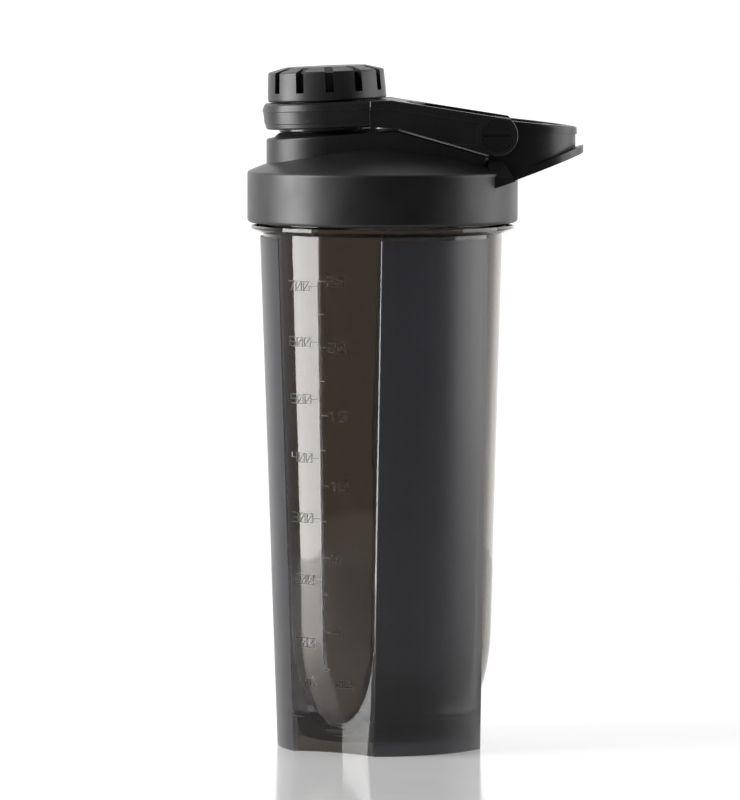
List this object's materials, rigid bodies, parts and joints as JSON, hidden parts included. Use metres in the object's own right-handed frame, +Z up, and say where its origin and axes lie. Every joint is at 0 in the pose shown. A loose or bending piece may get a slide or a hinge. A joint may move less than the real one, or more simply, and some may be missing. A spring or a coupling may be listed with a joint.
{
  "type": "shaker bottle",
  "caption": "Tapered shaker bottle with panelled translucent body, screw lid, side-hinged twist cap over a drinking spout, and a carry loop.",
  "frame": {"origin": "centre of the face the bottle stands on", "axes": "+Z up along the bottle, spout towards -X, carry loop towards +X"},
  "size_m": [0.1192, 0.096, 0.2421],
  "materials": {
    "bottle_plastic": "translucent smoke grey moulded plastic, glossy",
    "lid_plastic": "black, satin",
    "knob_plastic": "black, satin",
    "seal_rubber": "black silicone",
    "grid_plastic": "black, satin",
    "retainer_plastic": "black, gloss",
    "pin_plastic": "black, satin"
  },
  "bodies": {
    "bottle": {"bottle_body": "bottle_plastic"},
    "lid_carrier": {"lid_seal_ring": "seal_rubber"},
    "lid": {"lid_shell": "lid_plastic", "carry_loop": "lid_plastic", "hinge_pin_left": "pin_plastic", "hinge_pin_right": "pin_plastic"},
    "arm": {"cap_arm": "lid_plastic"},
    "cap": {"cap_knob": "knob_plastic", "cap_sleeve": "knob_plastic", "cap_liner": "seal_rubber", "cap_retainer": "retainer_plastic"},
    "grid": {"mixing_grid": "grid_plastic"}
  },
  "joints": [
    {"name": "lid_lift", "type": "slide", "parent": "bottle", "child": "lid_carrier", "axis": [0, 0, 1], "range_m": [0, 0.018]},
    {"name": "lid_twist", "type": "hinge", "parent": "lid_carrier", "child": "lid", "pos_m": [0, 0, 0.2], "axis": [0, 0, 1], "range_deg": [0, 1080]},
    {"name": "arm_swing", "type": "hinge", "parent": "lid", "child": "arm", "pos_m": [0.0402, 0, 0.2176], "axis": [0, 1, 0], "range_deg": [0, 170]},
    {"name": "cap_twist", "type": "hinge", "parent": "arm", "child": "cap", "pos_m": [-0.0196, 0, 0.2291], "axis": [-0.0401, 0, 0.9992], "range_deg": [-90, 0]},
    {"name": "grid_pull", "type": "slide", "parent": "lid", "child": "grid", "axis": [0, 0, -1], "range_m": [0, 0.012]}
  ],
  "couplings": [
    {"joint": "lid_lift", "follows": "lid_twist", "m_per_rad": 0.00095493}
  ]
}
